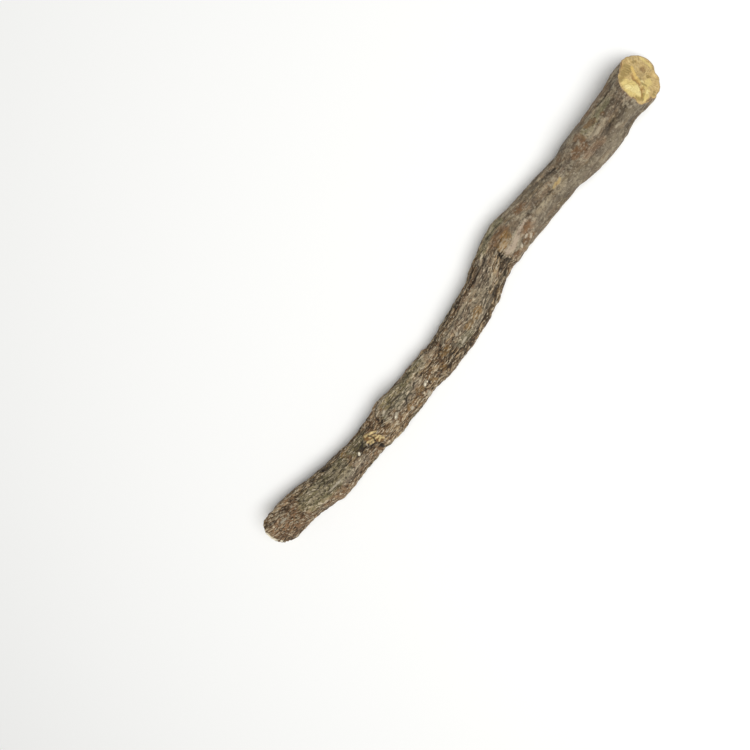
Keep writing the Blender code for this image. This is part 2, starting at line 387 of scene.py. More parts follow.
MARKS = {
    "smooth": [
        ((130.0, 30.0), (136.0, 38.0), 1.8),
        ((136.0, 36.0), (146.0, 40.0), 2.0),
        ((146.0, 42.0), (156.0, 44.0), 1.8),
        ((156.0, 42.0), (172.0, 34.0), 2.1),
        ((140.0, -110.0), (165.0, -96.0), 2.6),
        ((132.0, 170.0), (160.0, -176.0), 2.6),
    ],
    "lichen": [
        ((74.0, -56.0), (58.0, -42.0), 2.4),
        ((66.0, -26.0), (56.0, -16.0), 1.8),
        ((88.0, 22.0), (92.0, 26.0), 1.2),
        ((44.0, -38.0), (32.0, -20.0), 2.2),
        ((34.0, -30.0), (14.0, -10.0), 2.6),
        ((33.0, 0.0), (16.0, 12.0), 2.0),
        ((113.0, -54.0), (122.0, -62.0), 1.4),
        ((156.0, -30.0), (166.0, -44.0), 1.2),
        ((20.0, 120.0), (60.0, 100.0), 3.0),
        ((90.0, -120.0), (120.0, -140.0), 3.0),
    ],
    "pinkish": [
        ((10.0, -34.0), (1.0, 6.0), 3.0),
        ((12.0, 34.0), (2.0, 44.0), 2.4),
        ((44.0, 44.0), (20.0, 52.0), 2.0),
        ((36.0, -8.0), (38.0, 20.0), 1.6),
        ((83.0, -38.0), (77.0, -35.0), 0.9),
        ((103.0, -38.0), (97.0, -44.0), 1.0),
        ((157.0, 14.0), (152.0, 8.0), 1.0),
        ((128.0, 20.0), (124.0, 26.0), 1.2),
        ((172.0, -30.0), (170.0, 4.0), 1.0),
        ((168.0, -80.0), (158.0, -84.0), 2.0),
        ((60.0, 170.0), (80.0, -170.0), 3.0),
    ],
    # painted shade: dark strokes along cracks, in pits and over shaded places, not a colour of the bark
    "shade": [
        ((167.2, -52.0), (163.4, -57.0), 0.7),
        ((163.0, -26.0), (166.4, -24.0), 1.1),
        ((167.0, -10.0), (166.8, 2.0), 0.8),
        ((169.0, 12.0), (164.6, 12.0), 0.7),
        ((161.4, 6.0), (158.0, 9.0), 0.7),
        ((160.3, -21.0), (160.5, -15.0), 0.45),
        ((154.6, 14.0), (156.0, 20.0), 0.7),
        ((143.0, -38.0), (141.0, -44.0), 0.8),
        ((150.0, -2.0), (146.0, -6.0), 0.7),
        ((132.8, 2.0), (128.0, -8.0), 0.7),
        ((126.0, 8.0), (127.4, 14.0), 0.6),
        ((122.4, 42.0), (124.0, 50.0), 0.8),
        ((116.0, 2.0), (114.4, 26.0), 0.8),
        ((110.0, -50.0), (100.0, -62.0), 1.2),
        ((97.6, -66.0), (90.4, -78.0), 1.1),
        ((84.0, -66.0), (70.0, -76.0), 1.1),
        ((81.0, -16.0), (72.0, -8.0), 0.7),
        ((96.0, 46.0), (86.0, 48.0), 0.8),
        ((66.0, 4.0), (63.0, 12.0), 0.9),
        ((44.0, -30.0), (42.0, -6.0), 1.0),
        ((53.4, -32.0), (52.6, -8.0), 0.7),
        ((57.0, -84.0), (53.4, -50.0), 0.9),
        ((46.4, 34.0), (47.0, 52.0), 0.9),
        ((150.0, -20.0), (154.0, -12.0), 1.3),
        ((157.4, -42.0), (159.6, -34.0), 1.2),
        ((124.8, 32.0), (119.0, 36.0), 0.9),
        ((11.0, 16.0), (9.0, 26.0), 0.6),
        ((5.0, 32.0), (4.6, 40.0), 0.5),
    ],
    "rust": [
        ((117.8, -20.0), (120.8, -26.0), 1.9),
        ((127.4, -36.0), (130.0, -38.0), 1.0),
        ((125.4, 20.0), (127.0, 14.0), 1.0),
        ((123.0, 44.0), (125.6, 46.0), 0.9),
        ((118.0, 46.0), (120.0, 52.0), 1.1),
        ((147.0, -58.0), (146.4, -48.0), 0.7),
        ((150.4, -16.0), (153.2, -12.0), 1.2),
        ((153.6, -46.0), (154.6, -26.0), 1.0),
        ((158.0, -40.0), (159.4, -36.0), 1.1),
        ((162.4, -30.0), (162.8, -26.0), 0.5),
        ((57.0, 0.0), (57.6, 14.0), 1.6),
        ((36.2, -26.0), (36.6, -20.0), 0.6),
        ((11.4, 16.0), (9.6, 26.0), 0.8),
        ((82.0, -33.0), (79.0, -36.0), 0.5),
        ((99.2, -48.0), (99.0, -44.0), 0.4),
        ((70.0, 150.0), (66.0, 160.0), 1.2),
        ((133.0, 110.0), (128.0, 118.0), 1.4),
    ],
    "tan": [
        ((117.4, -6.0), (120.6, -10.0), 1.3),
        ((97.2, 14.0), (99.2, 12.0), 1.1),
        ((93.0, 10.0), (94.8, 14.0), 0.8),
        ((82.2, -4.0), (84.8, -2.0), 1.0),
        ((73.4, 28.0), (74.0, 38.0), 0.9),
        ((78.2, 26.0), (79.4, 34.0), 0.95),
        ((67.6, 10.0), (69.0, 15.0), 0.85),
        ((34.6, -56.0), (35.4, -44.0), 0.9),
        ((62.0, 22.0), (61.4, 28.0), 0.6),
        ((104.4, 26.0), (105.4, 30.0), 0.6),
        ((88.0, 120.0), (84.0, 124.0), 0.9),
    ],
    "grey": [
        ((111.0, -24.0), (101.0, 8.0), 2.4),
        ((97.0, -12.0), (88.0, 18.0), 2.2),
        ((105.0, 30.0), (94.0, 30.0), 1.6),
        ((70.0, -8.0), (56.0, -6.0), 1.8),
        ((40.0, 24.0), (30.0, 30.0), 1.6),
        ((96.0, 150.0), (76.0, 140.0), 2.6),
    ],
    "scar": [
        ((117.6, 17.0), (119.4, 20.0), 0.85),
        ((119.4, 20.0), (122.4, 12.0), 0.55),
        ((122.4, 12.0), (125.0, 5.0), 0.4),
        ((125.0, 5.0), (127.4, 1.0), 0.3),
    ],
    "worn": [
        ((169.4, -36.0), (166.4, -46.0), 0.6),
        ((166.4, -46.0), (157.0, -52.0), 0.5),
        ((143.4, -4.0), (139.2, 4.0), 0.6),
        ((161.6, -26.0), (162.0, -14.0), 0.3),
        ((161.8, -10.0), (159.8, -7.0), 0.3),
        ((159.2, -9.0), (158.8, -22.0), 0.3),
        ((157.4, -26.0), (156.0, -20.0), 0.8),
        ((137.0, 14.0), (132.0, 12.0), 0.8),
        ((143.0, 16.0), (139.0, 16.0), 0.6),
        ((103.6, -27.0), (95.0, -34.0), 0.6),
        ((95.0, -34.0), (85.0, -32.0), 0.8),
        ((82.0, -36.0), (72.0, -37.0), 0.7),
        ((111.0, 48.0), (107.6, 44.0), 1.0),
        ((109.0, 14.0), (106.0, 20.0), 0.8),
        ((103.4, -12.0), (99.4, -8.0), 0.7),
        ((105.0, 4.0), (102.6, 0.0), 0.8),
        ((56.0, -24.0), (54.2, -36.0), 0.8),
        ((33.0, 6.0), (23.6, 12.0), 0.7),
        ((34.0, -22.0), (26.0, -14.0), 0.9),
        ((24.0, -8.0), (17.0, 0.0), 0.8),
        ((22.0, -26.0), (14.0, -20.0), 0.5),
        ((29.0, -38.0), (26.0, -42.0), 0.6),
        ((7.0, -12.0), (2.6, -15.0), 0.5),
        ((6.0, -32.0), (2.0, -42.0), 0.6),
    ],
    "pale": [
        ((124.8, 32.0), (123.8, 35.0), 0.3),
        ((125.7, 42.0), (124.9, 48.0), 0.36),
        ((121.4, 40.0), (120.8, 44.0), 0.3),
        ((90.2, -6.0), (89.6, -4.0), 0.34),
        ((90.4, 24.0), (88.8, 26.0), 0.4),
        ((71.4, 12.0), (70.2, 18.0), 0.46),
        ((69.2, 44.0), (68.6, 56.0), 0.7),
        ((58.0, 4.0), (56.8, 11.0), 0.42),
        ((55.8, -30.0), (54.8, -26.0), 0.4),
        ((62.4, 30.0), (61.8, 34.0), 0.4),
        # a painted glint: a small pale highlight below the torn patch, not a chip
        ((44.2, -5.0), (44.0, 4.0), 0.4),
        ((29.0, 10.0), (24.0, 12.0), 0.3),
        ((5.4, -13.0), (3.4, -14.0), 0.3),
    ],
    "torn": [
        ((45.6, -24.0), (48.6, 18.0), 1.0),
        ((45.0, -4.0), (47.6, -8.0), 0.8),
        ((141.8, -1.0), (140.4, 0.0), 0.28),
    ],
    "fibre": [
        ((45.4, -30.0), (48.2, -18.0), 0.34),
        ((48.2, -20.0), (49.4, -10.0), 0.24),
        ((46.4, -14.0), (48.6, -2.0), 0.24),
        ((44.6, -8.0), (46.8, 2.0), 0.3),
        ((44.8, 4.0), (46.2, 8.0), 0.24),
        ((47.4, 4.0), (49.2, 8.0), 0.24),
        ((47.8, 20.0), (49.4, 12.0), 0.26),
        ((48.8, 12.0), (49.6, 24.0), 0.24),
    ],
    "dry": [
        ((142.6, -4.0), (141.2, 2.0), 0.36),
        ((140.8, -4.0), (139.4, 2.0), 0.32),
    ],
    # painted shade in the gaps between torn fibres, beside a torn patch and in a pit
    "gap_shade": [
        ((46.6, -22.0), (47.2, -8.0), 0.22),
        ((47.4, -2.0), (47.0, 10.0), 0.26),
        ((45.6, 14.0), (46.6, 18.0), 0.24),
        ((43.6, -26.0), (42.0, -8.0), 0.45),
        ((44.4, 0.0), (43.8, 8.0), 0.3),
        ((46.4, 38.0), (46.6, 48.0), 0.5),
    ],
    "bare": [
        ((-2.8, -18.0), (-2.8, 4.0), 0.5),
        ((-2.7, 4.0), (-2.2, 16.0), 0.5),
        ((-1.5, 32.0), (-1.2, 38.0), 0.24),
        ((40.0, -4.0), (39.6, -1.0), 0.38),
        ((71.9, 15.0), (71.6, 17.0), 0.22),
        ((70.8, 15.0), (70.4, 18.0), 0.28),
        ((57.2, 8.0), (56.8, 10.0), 0.22),
    ],
}
SMOOTHING = {"smooth": 0.5, "scar": 0.5, "rust": 0.15, "tan": 0.2, "worn": 0.1}  # share smoothed


def marked(kind, along, turn, radius):
    """How strongly the bark there belongs to marks of one kind, from 0 to 1."""
    return max(stroke(along, turn, radius, *line) for line in MARKS[kind])


def roughness_at(along, turn, radius):
    past_knee = smoothstep((along - SMOOTHER_FROM) / (SMOOTHER_BY - SMOOTHER_FROM))
    level = 1 - (1 - SMOOTH_LEVEL) * past_knee
    smoothed = max(share * marked(kind, along, turn, radius) for kind, share in SMOOTHING.items())
    return level * (1 - smoothed)


# The cut ends. The wood inside is pale yellow and fibrous, with rays from the middle to the
# bark. The upper end was cut in two slanting strokes, and a torn ridge is left between them.

# Each cut is a plane. Its outward normal rises from level by RISE, and turns aside by YAW.
LOWER_CUT_RISE = -20.0
UPPER_CUT_RISE = 45.0
UPPER_CUT_YAW = -6.0
CUT_REACH = 24.0  # how far back from a cut the rings lean towards it

# "Out" and the widths here are shares of the radius, and the heights are millimetres.
WOOD_RISE = 0.25  # how far the wood stands proud of the bark round a cut
EDGE_WIDTH = 0.15  # a face's relief comes in over this width
RIDGE_TURN = 61.0  # the ridge runs across the face this way
RIDGE_ASIDE = -0.03  # and passes its middle at this distance
RIDGE_HEIGHT = 0.3
RIDGE_SLOPE = 0.9  # how much the face falls away over one radius from the ridge
UPPER_PITH = (0.5, -164.0)  # out and turn
LOWER_PITH = (0.15, 40.0)
PITH_HALF_WIDTH = 0.1
PITH_DEPTH = 0.3

# How much further than the round root the edge of the upper cut reaches: (turn, millimetres).
CUT_EDGE = [
    (-190.0, 0.6),
    (-175.0, 0.7),
    (-160.0, 0.4),
    (-145.0, 0.1),
    (-130.0, -0.3),
    (-110.0, 0.0),
    (-92.0, 0.0),
    (-78.0, -0.5),
    (-62.0, -0.5),
    (-45.0, 0.05),
    (-32.0, 0.2),
    (-18.0, 0.0),
    (-8.0, -0.3),
    (8.0, -0.25),
    (20.0, -0.45),
    (32.0, 0.45),
    (46.0, 0.3),
    (60.0, -0.35),
    (76.0, -0.3),
    (92.0, 0.35),
    (108.0, 0.6),
    (122.0, 0.5),
    (140.0, 0.45),
    (150.0, 0.0),
    (160.0, 0.25),
    (170.0, 0.6),
    (185.0, 0.7),
]
CUT_EDGE_REACH = 3.5  # and it fades out over this distance from the cut
RIDGE_TORN = 0.2  # the ridge's torn edge stands this much higher
TEAR_DEPTH = 0.35
RAYS = (16.0, 1.5, 0.1)  # the radius of the ring that their noise is read on; cells outwards; height
TORN_FIBRES = (0.09, 0.14)  # size and height

# Marks on the upper face, as on the bark, by (from the middle to the top, to the -Y side).
# The tear strokes are painted shadow under the torn ridge's lip and in cracks, and the ridge
# and bright strokes are partly painted highlight.
FACE_MARKS = {
    "fresh": [
        ((0.6, -0.36), (0.66, 0.3), 0.17),
        ((0.42, -0.1), (0.48, 0.16), 0.14),
        ((0.86, -0.16), (0.86, 0.14), 0.08),
        ((-0.84, -0.36), (-0.86, 0.16), 0.05),
        ((0.5, 0.62), (0.2, 0.6), 0.12),
        ((0.1, 0.36), (-0.24, 0.42), 0.14),
    ],
    # pale yellow wood with painted highlights on it
    "bright": [
        ((0.7, -0.22), (0.62, -0.1), 0.09),
        ((0.62, 0.02), (0.54, 0.26), 0.12),
        ((0.44, 0.1), (0.42, 0.26), 0.07),
        ((0.3, 0.6), (0.2, 0.62), 0.06),
        ((0.07, 0.13), (0.03, 0.19), 0.05),
    ],
    "olive": [
        ((0.08, -0.6), (0.36, -0.66), 0.16),
        ((0.66, -0.62), (0.5, -0.58), 0.1),
        ((0.0, -0.6), (0.06, -0.74), 0.11),
        ((-0.34, -0.6), (-0.5, -0.5), 0.06),
        ((-0.36, 0.26), (-0.5, 0.34), 0.05),
        ((0.78, 0.36), (0.66, 0.46), 0.07),
        ((0.62, 0.56), (0.46, 0.5), 0.06),
        ((0.1, 0.86), (-0.1, 0.86), 0.06),
        ((0.12, 0.24), (0.04, 0.4), 0.05),
    ],
    # the torn ridge's own yellow, and a painted highlight on its lit edge
    "ridge": [
        ((-0.1, -0.5), (0.06, -0.26), 0.06),
        ((0.06, -0.26), (0.16, 0.06), 0.06),
    ],
    # painted shadow under the lip of the torn ridge and in cracks; the same strokes also sink the tear
    "tear_shadow": [
        ((0.15, -0.34), (0.21, -0.2), 0.04),
        ((0.21, -0.2), (0.23, 0.14), 0.035),
        ((0.32, 0.3), (0.2, 0.36), 0.05),
        ((0.3, 0.3), (0.58, 0.52), 0.022),
        ((0.2, -0.88), (0.04, -0.96), 0.05),
    ],
    "pith": [
        ((-0.42, -0.06), (-0.48, -0.06), 0.11),
    ],
    "rim": [
        ((0.56, 0.8), (0.26, 0.94), 0.06),
        ((0.3, -0.93), (-0.02, -0.99), 0.05),
        ((0.5, -0.84), (0.3, -0.93), 0.03),
        ((0.95, 0.24), (0.9, 0.4), 0.05),
    ],
}


def cut_normal(upper):
    rise = math.radians(UPPER_CUT_RISE if upper else LOWER_CUT_RISE)
    yaw = math.radians(UPPER_CUT_YAW if upper else 180.0)
    return Vector((math.cos(rise) * math.cos(yaw), math.cos(rise) * math.sin(yaw), math.sin(rise)))


def lean_to_cut(along, offset):
    """How far a point at this offset from the centreline moves along it, to meet the cut planes."""
    total = 0.0
    for upper, end in ((False, 0.0), (True, LENGTH)):
        nearness = smoothstep(1 - abs(along - end) / CUT_REACH)
        if nearness > 0:
            normal = cut_normal(upper)
            total -= nearness * normal.dot(offset) / normal.dot(frame_at(end)[0])
    return total


edge_at = smooth_curve(CUT_EDGE)


def on_face(out, turn):
    angle = math.radians(turn)
    return Vector((out * math.cos(angle), out * math.sin(angle)))


def from_ridge(place):
    angle = math.radians(RIDGE_TURN)
    return place.y * math.cos(angle) - place.x * math.sin(angle) - RIDGE_ASIDE


def face_marked(kind, place):
    """How strongly a place on the upper face belongs to marks of one kind, from 0 to 1."""
    most = 0.0
    for start, end, half_width in FACE_MARKS[kind]:
        line = Vector(end) - Vector(start)
        reach = place - Vector(start)
        share = min(max(reach.dot(line) / line.length_squared, 0.0), 1.0)
        most = max(most, bump((reach - line * share).length / half_width))
    return most


def face_relief(upper, out, turn):
    """How far a cut face stands out from its plane, at a share of the radius from its middle."""
    place = on_face(out, turn)
    height = WOOD_RISE
    if upper:
        height += RIDGE_HEIGHT - RIDGE_SLOPE * abs(from_ridge(place))
    pith = on_face(*(UPPER_PITH if upper else LOWER_PITH))
    height -= PITH_DEPTH * bump((place - pith).length / PITH_HALF_WIDTH)
    return height * smoothstep((1 - out) / EDGE_WIDTH)


def torn_relief(upper, out, turn):
    """The fibres, the torn ridge and the cracks of a cut face, which the solid leaves out."""
    place = on_face(out, turn)
    round_face = on_face(RAYS[0], turn)
    rays = noise.noise(Vector((round_face.x, round_face.y, out * RAYS[1])))
    fibres = noise.noise(Vector((place.x, place.y, LENGTH)) / TORN_FIBRES[0])
    height = RAYS[2] * rays * out + TORN_FIBRES[1] * fibres
    if upper:
        height += RIDGE_TORN * face_marked("ridge", place) - TEAR_DEPTH * face_marked("tear_shadow", place)
    return height * smoothstep((1 - out) / EDGE_WIDTH)


# The whole root. It is a fine cylinder carried to its place on the bent and knotted root, point
# by point, as the solid it replaces is. Bark and wood are one closed skin.

SIDES = 140
SLICES = 630
FACE_RINGS = 21
FACE_STEP = 0.045  # between rings of a cut face, as a share of its radius
BARK_FROM = 0.995  # a point at this share of the radius, or past it, is on the bark
BARK_PART = 0  # material places
WOOD_PART = 1
CRACK_SHADE = 2.2  # painted shade: how dark a crack and a broad split are painted for each millimetre of depth
SPLIT_SHADE = 0.6
SMOOTH_SHADE = 0.35  # and the share of it that is left on the smoothest bark
RAISED_PATCHES = (7.0, 2.5, 0.3)  # pale flecks gather in patches of this size, by this much

# The layout for baking: the bark in two strips along the root, and the faces above them.
STRIP_HEIGHT = 0.42
STRIP_STEP = 0.43  # from the foot of one strip to that of the next
FACE_RADIUS = 0.06
FACE_MIDDLES = {False: (0.2, 0.93), True: (0.6, 0.93)}  # of the lower and the upper face
ROUNDING = 1e-5  # a point as near the end of the straight cylinder as this lies on it


def ringed_cylinder():
    """A cylinder of radius 1 and height 1, cut into slices, its ends inset into rings."""
    mesh = bmesh.new()
    bmesh.ops.create_cone(
        mesh, cap_ends=True, cap_tris=False, segments=SIDES, radius1=1, radius2=1, depth=1
    )
    lengthwise = [edge for edge in mesh.edges if abs(edge.verts[0].co.z - edge.verts[1].co.z) > 0.5]
    bmesh.ops.subdivide_edges(mesh, edges=lengthwise, cuts=SLICES - 1)
    for cap in [face for face in mesh.faces if len(face.verts) == SIDES]:
        for _ in range(FACE_RINGS):
            bmesh.ops.inset_region(mesh, faces=[cap], thickness=FACE_STEP, use_even_offset=True)
        bmesh.ops.poke(mesh, faces=[cap])
    return mesh


def share_round(place):
    """How far round the straight cylinder a place is, from 0 to 1."""
    return math.atan2(place.y, place.x) / (2 * math.pi) + 0.5


def lay_out_for_baking(mesh):
    """Gives each face its place in the OFBake map, read from the straight cylinder."""
    layer = mesh.loops.layers.uv.new("OFBake")
    for face in mesh.faces:
        middle = face.calc_center_median()
        on_cut = all(abs(abs(vertex.co.z) - 0.5) < ROUNDING for vertex in face.verts)
        face.material_index = WOOD_PART if on_cut else BARK_PART
        for loop in face.loops:
            place = loop.vert.co
            if on_cut:
                u, v = FACE_MIDDLES[place.z > 0]
                loop[layer].uv = (u + FACE_RADIUS * place.x, v + FACE_RADIUS * place.y)
            else:
                # A face on the seam stays in one piece at the edge of its strip.
                round_share = share_round(place)
                round_share -= round(round_share - share_round(middle))
                past_middle = middle.z > 0
                u = 2 * place.z + (0 if past_middle else 1)
                v = round_share * STRIP_HEIGHT + (STRIP_STEP if past_middle else 0)
                loop[layer].uv = (u, v)


def place_on_root(along, turn, out, reach, lean, relief):
    """The root's surface, in millimetres, where out is 1 on the bark and less on a cut face."""
    ray = ray_at(along, turn)
    fade = smoothstep((centre_at(along).z + reach * ray.z) / RELIEF_FADE)
    point = centre_at(along) + ray * (reach + relief * fade) * out
    point += frame_at(along)[0] * lean * out
    if out < 1:
        upper = along > LENGTH / 2
        height = face_relief(upper, out, turn) + torn_relief(upper, out, turn)
        point += cut_normal(upper) * height
    point.z = max(point.z, 0.0)
    return point


def make_root_mesh():
    """The root's skin. Its vertices carry where they grew and which marks they belong to."""
    mesh = ringed_cylinder()
    lay_out_for_baking(mesh)
    layers = mesh.verts.layers
    grown_layer = layers.float_vector.new("grown")
    face_layer = layers.float_vector.new("face_place")
    roughness_layer = layers.float.new("roughness")
    furrow_shade_layer = layers.float.new("furrow")
    raised_layer = layers.float.new("raised")
    mark_layers = {kind: layers.float.new(kind) for kind in (*MARKS, *FACE_MARKS)}
    origin = Vector((*MIDDLE, 0))
    for vertex in mesh.verts:
        x, y, z = vertex.co
        out = math.hypot(x, y)
        out = 1.0 if out > BARK_FROM else out
        turn = math.degrees(math.atan2(y, x))
        straight = (z + 0.5) * LENGTH
        radius = radius_at(straight)
        reach = radius + edge_at(turn) * smoothstep(1 - (LENGTH - straight) / CUT_EDGE_REACH)
        lean = lean_to_cut(straight, ray_at(straight, turn) * reach)
        along = straight + lean
        roughness = roughness_at(along, turn, radius)
        grown = grown_at(along, turn, radius)
        raised = main_relief(along, turn, radius)
        relief = raised + fine_relief(along, turn, radius, grown, roughness)
        vertex.co = (place_on_root(straight, turn, out, reach, lean, relief) - origin) * MM
        vertex[grown_layer] = grown
        vertex[face_layer] = (*(on_face(out, turn) * radius), out)
        vertex[roughness_layer] = roughness
        vertex[raised_layer] = raised + RAISED_PATCHES[2] * grained(RAISED_PATCHES, grown, LENGTH)
        # The furrow layer holds painted shade, deeper in furrows, cracks and splits.
        if out == 1:
            furrow = furrow_at(grown) * roughness
            hollow_shade = CRACK_SHADE * crack_depth(along, turn, radius)
            hollow_shade += SPLIT_SHADE * split_depth(along, turn, radius)
            kept = SMOOTH_SHADE + (1 - SMOOTH_SHADE) * roughness
            vertex[furrow_shade_layer] = furrow + hollow_shade * kept
            for kind in MARKS:
                vertex[mark_layers[kind]] = marked(kind, along, turn, radius)
        elif straight > LENGTH / 2:
            for kind in FACE_MARKS:
                vertex[mark_layers[kind]] = face_marked(kind, on_face(out, turn))
    bmesh.ops.recalc_face_normals(mesh, faces=mesh.faces)
    return mesh


# The finish of the root: dry cork bark all round it, and pale fibrous wood on its two cuts.
# Both are coloured by noise that follows the grain, then by the marks that the skin carries.


def add_node(tree, kind, inputs, **settings):
    """Adds a node with these settings. An input that is given a socket is linked to it."""
    node = tree.nodes.new(kind)
    for name, value in settings.items():
        setattr(node, name, value)
    for key, value in inputs.items():
        if isinstance(value, bpy.types.NodeSocket):
            tree.links.new(value, node.inputs[key])
        else:
            node.inputs[key].default_value = value
    return node


def linear(hex_colour):
    """A Blender colour from an sRGB hex value."""
    channels = []
    for i in (1, 3, 5):
        share = int(hex_colour[i : i + 2], 16) / 255
        channels.append(share / 12.92 if share <= 0.04045 else ((share + 0.055) / 1.055) ** 2.4)
    return (*channels, 1.0)


MIX_FACTOR, MIX_A, MIX_B, MIX_COLOUR = 0, 6, 7, 2  # a Mix node's colour sockets, by place
NOISE_MIDDLE = 0.5  # a noise texture varies about this
MARK_FROM = 0.15  # a mark's colour comes in between these levels
MARK_TO = 0.75


def add_marks(tree, colour, looks, edge):
    """Paints kinds of marks over a colour, broken up by the edge noise as far as they are ragged."""
    for kind, (hex_colour, strength, raggedness) in looks.items():
        mark = add_node(tree, "ShaderNodeAttribute", {}, attribute_name=kind).outputs["Fac"]
        ragged = add_node(
            tree, "ShaderNodeMath", {0: edge, 1: raggedness, 2: 1 - NOISE_MIDDLE * raggedness},
            operation="MULTIPLY_ADD",
        ).outputs["Value"]
        level = add_node(
            tree, "ShaderNodeMath", {0: ragged, 1: mark}, operation="MULTIPLY"
        ).outputs["Value"]
        patch = add_node(
            tree, "ShaderNodeMapRange",
            {"Value": level, "From Min": MARK_FROM, "From Max": MARK_TO, "To Max": strength},
            interpolation_type="SMOOTHSTEP",
        ).outputs["Result"]
        colour = add_node(
            tree, "ShaderNodeMix", {MIX_FACTOR: patch, MIX_A: colour, MIX_B: linear(hex_colour)},
            data_type="RGBA",
        ).outputs[MIX_COLOUR]
    return colour


# Cork bark, dry and matt: grey brown, mottled by flecks of paler dead skin and by dark flecks,
# partly the bark's own dark colour and partly painted shade in its pits and hollows.
# It is browner and more broken below the knee, and greyer and softly mottled above it.
BARK_COARSE = "#846646"
BARK_SMOOTH = "#7b6e5b"
BARK_ROUGHNESS = 0.82
BARK_IOR = 1.45

# (size along, size across), noise from, noise to, colour, strength, height, where. The finest
# flecks are drawn a little coarser than the real ones, so that they show.
BARK_TONES = [
    ((16.0, 6.0), 0.46, 0.6, "#665a41", 0.6, 0.0, "all"),
    ((12.0, 4.0), 0.5, 0.62, "#806c58", 0.6, 0.0, "all"),
    ((5.0, 2.4), 0.52, 0.64, "#7c6344", 0.5, 0.0, "all"),
]
BROAD_FLECKS = [
    ((3.0, 1.6), 0.48, 0.62, "#574c3f", 0.75, -0.3, "mottled"),
    ((2.0, 1.3), 0.5, 0.62, "#a3977f", 0.7, 0.3, "mottled"),
    ((6.0, 0.9), 0.51, 0.6, "#4b371c", 0.5, -0.5, "coarse"),
    ((2.4, 0.65), 0.51, 0.59, "#372711", 0.7, -0.9, "coarse"),
    ((2.8, 0.55), 0.52, 0.59, "#bba27e", 0.8, 0.9, "coarse"),
]
FINE_FLECKS = [
    ((1.1, 0.8), 0.53, 0.64, "#4c4235", 0.5, -0.2, "mottled"),
    ((0.9, 0.7), 0.55, 0.66, "#a89d88", 0.5, 0.2, "mottled"),
    ((1.2, 0.48), 0.54, 0.61, "#2a1f12", 0.75, -0.6, "coarse"),
    ((1.4, 0.42), 0.55, 0.61, "#d2c2a5", 0.8, 0.8, "coarse"),
    ((0.5, 0.4), 0.52, 0.64, "#3d3021", 0.4, -0.3, "all"),
]
RAISED_SHARE = 0.06  # pale flecks lie on the raised bark, and dark ones, partly painted shade, in its hollows
TONE_SEED = 20  # each table counts its patterns on from its seed
BROAD_SEED = 0
FINE_SEED = 10
SEED_STEP = 37.0  # and each pattern's noise is read this far along from the last one's
FLECK_NOISE = {"Detail": 2.0, "Roughness": 0.55}
FLECK_HEIGHT = 0.22  # millimetres, for a height of 1 in the tables
COARSE_FROM = SMOOTH_LEVEL - 0.1  # the roughness from which the bark takes its coarse colours
# Painted shade in the furrows, cracks and splits, darker the deeper they are.
FURROW_SHADE_COLOUR = "#20170e"
FURROW_FROM = 0.25  # painted shade comes into a furrow between these depths
FURROW_TO = 0.9
FURROW_SHADE_STRENGTH = 0.8
STAIN_AND_SHADE_LOOKS = {  # colour, strength, raggedness. Stains and painted shade lie under the flecks
    "smooth": ("#877c69", 0.45, 2.0),
    # painted shade, darkening cracks, pits and shaded places
    "shade": ("#3c3226", 0.65, 2.4),
}
RUBBED_LOOKS = {  # and these lie over the broad flecks, under the fine ones
    "lichen": ("#86825f", 0.55, 2.6),
    "pinkish": ("#8b6c50", 0.42, 2.6),
    "grey": ("#8b8474", 0.45, 2.8),
    "rust": ("#735130", 0.64, 3.0),
    "tan": ("#8f6e3e", 0.68, 2.8),
    "worn": ("#a09278", 0.55, 2.8),
    "scar": ("#b3a08b", 0.75, 2.6),
}
CHIP_LOOKS = {  # and chips, torn places and painted shade in their gaps over everything, also over the painted shade of the furrows
    "pale": ("#b9ae98", 0.85, 2.2),
    "torn": ("#8a6436", 0.8, 2.8),
    "fibre": ("#dcc48c", 0.95, 3.0),
    "dry": ("#b39b6a", 0.75, 2.8),
    # painted shade in the gaps of torn bark
    "gap_shade": ("#2c241c", 0.85, 2.6),
    "bare": ("#f3e9cf", 1.0, 1.0),
}
STAIN_AND_SHADE_EDGE = (1.9, 1.2)  # millimetres: the edges of stains, rubbed marks and painted shade are ragged at this size
CHIP_EDGE = (0.6, 0.4)
EDGE_NOISE = {"Detail": 3.0, "Roughness": 0.6}


def add_grain_pattern(tree, grown, size, shift, look):
    """Noise stretched along the grain, in spots of this size in millimetres."""
    length, width = size
    place = add_node(
        tree, "ShaderNodeMapping",
        {"Vector": grown, "Location": (shift, 0, 0), "Scale": (1 / length, 1 / width, 1 / width)},
    ).outputs["Vector"]
    return add_node(
        tree, "ShaderNodeTexNoise", {"Vector": place, "Scale": 1.0, **look}
    ).outputs["Fac"]


def add_bark_layers(tree, colour, height, layers, seed, places):
    """Lays patterns of flecks over a colour, and over the height of the fine relief."""
    for size, low, high, hex_colour, strength, lift, where in layers:
        seed += 1
        shift = seed * SEED_STEP
        value = add_grain_pattern(tree, places["grown"], size, shift, FLECK_NOISE)
        if lift:
            value = add_node(
                tree, "ShaderNodeMath",
                {0: places["raised"], 1: math.copysign(RAISED_SHARE, lift), 2: value},
                operation="MULTIPLY_ADD",
            ).outputs["Value"]
        factor = add_node(
            tree, "ShaderNodeMapRange",
            {"Value": value, "From Min": low, "From Max": high, "To Max": strength},
            interpolation_type="SMOOTHSTEP",
        ).outputs["Result"]
        if where != "all":
            factor = add_node(
                tree, "ShaderNodeMath", {0: factor, 1: places[where]}, operation="MULTIPLY"
            ).outputs["Value"]
        colour = add_node(
            tree, "ShaderNodeMix", {MIX_FACTOR: factor, MIX_A: colour, MIX_B: linear(hex_colour)},
            data_type="RGBA",
        ).outputs[MIX_COLOUR]
        if lift:
            height = add_node(
                tree, "ShaderNodeMath", {0: factor, 1: lift, 2: height}, operation="MULTIPLY_ADD"
            ).outputs["Value"]
    return colour, height


